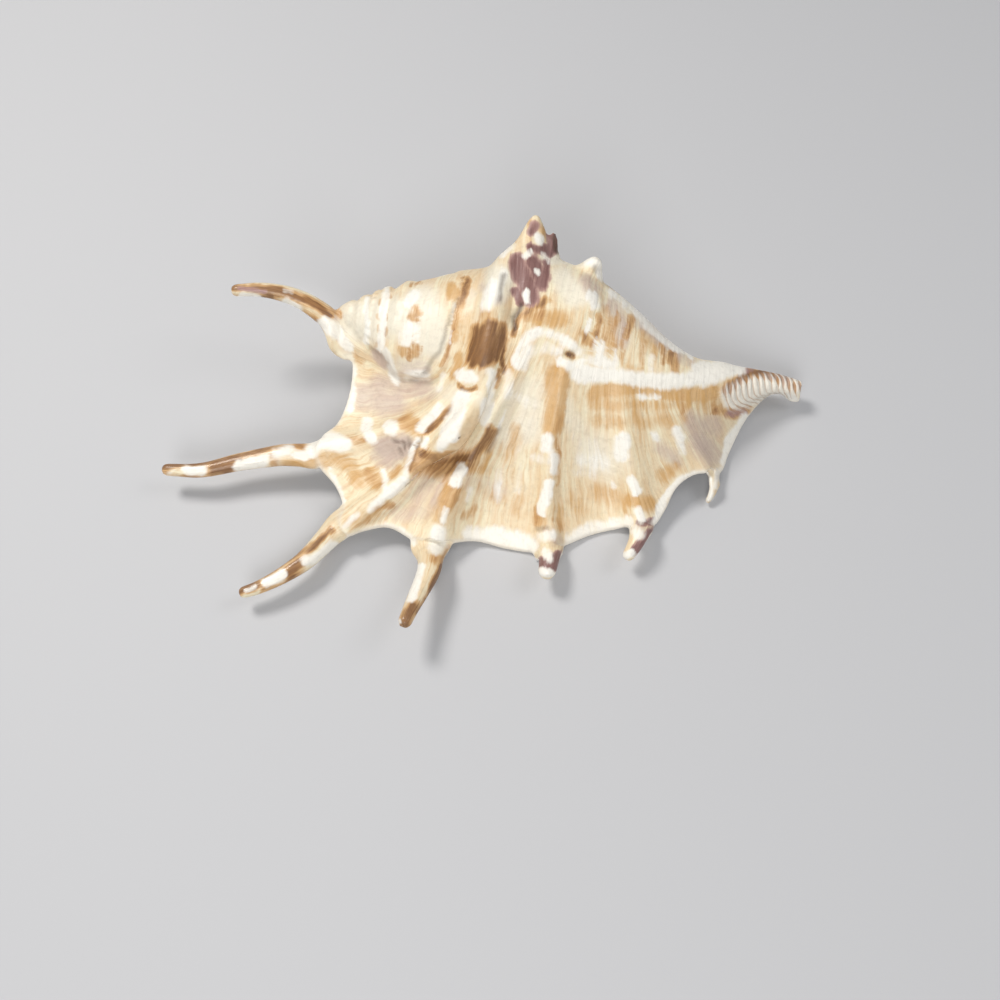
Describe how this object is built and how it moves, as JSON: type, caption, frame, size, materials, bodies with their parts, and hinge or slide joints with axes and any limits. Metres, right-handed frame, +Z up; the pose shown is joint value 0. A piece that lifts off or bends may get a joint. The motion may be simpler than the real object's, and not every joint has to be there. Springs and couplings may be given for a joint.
{
  "type": "spider conch shell",
  "caption": "Spider conch shell: knobbed coiled body with a flared lip, long curved digits along its edge, a keeled spire and a short pointed canal.",
  "frame": {"origin": "centre of the bounding box in plan, at the level of the ground it rests on", "axes": "+X from the spire and long digits towards the canal, +Y towards the knobbed back of the coil and away from the flared lip, +Z up; aperture down, back of the shell up"},
  "size_m": [0.1717, 0.1006, 0.0428],
  "materials": {
    "shell": "natural shell, fine cords, satin outside with brown and white markings, glossy cream lip and aperture"
  },
  "bodies": {
    "root": {"shell": "shell"}
  },
  "joints": []
}
